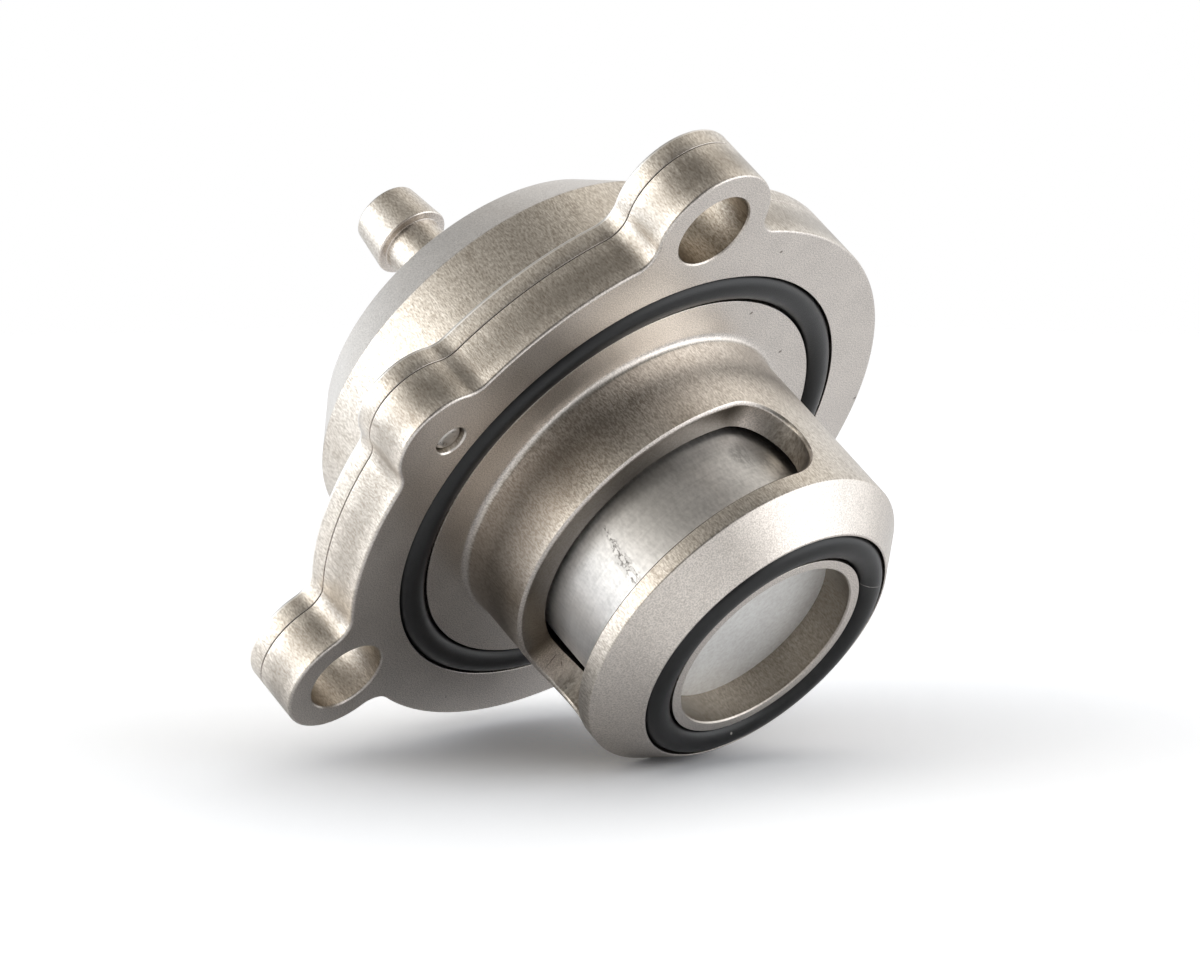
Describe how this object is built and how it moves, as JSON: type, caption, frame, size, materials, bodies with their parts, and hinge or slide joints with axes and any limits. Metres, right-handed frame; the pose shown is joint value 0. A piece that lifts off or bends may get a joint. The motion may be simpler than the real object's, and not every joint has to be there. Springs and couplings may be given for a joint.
{
  "type": "blow off valve",
  "caption": "Flange-mounted blow-off valve: a windowed round nose with a sprung sliding piston, face seal rings and a barbed hose nipple on its bevelled rear cap.",
  "frame": {"origin": "centre of the bolt circle on the flange's front mounting face", "axes": "+Z along the valve's axis from the nose to the hose nipple, +Y towards one bolt ear, -Y towards the side window and the small screw ear"},
  "size_m": [0.056, 0.0594, 0.0519],
  "materials": {
    "housing_metal": "satin pale champagne plating with a fine grain",
    "piston_metal": "bare, fine brushed",
    "seal_rubber": "smooth satin black",
    "screw_steel": "plain steel",
    "spring_steel": "drawn wire"
  },
  "bodies": {
    "housing": {"valve_body": "housing_metal", "rear_cap": "housing_metal", "vacuum_nipple": "housing_metal", "flange_oring": "seal_rubber", "nose_oring": "seal_rubber", "cap_oring": "seal_rubber", "cap_screw": "screw_steel", "spring": "spring_steel"},
    "piston": {"piston": "piston_metal", "piston_seal": "seal_rubber"}
  },
  "joints": [
    {"name": "piston_slide", "type": "slide", "parent": "housing", "child": "piston", "axis": [0, 0, 1], "range_m": [0, 0.009], "stiffness_N_per_m": 1600, "springref_m": -0.0063, "deforming": ["spring"]}
  ]
}
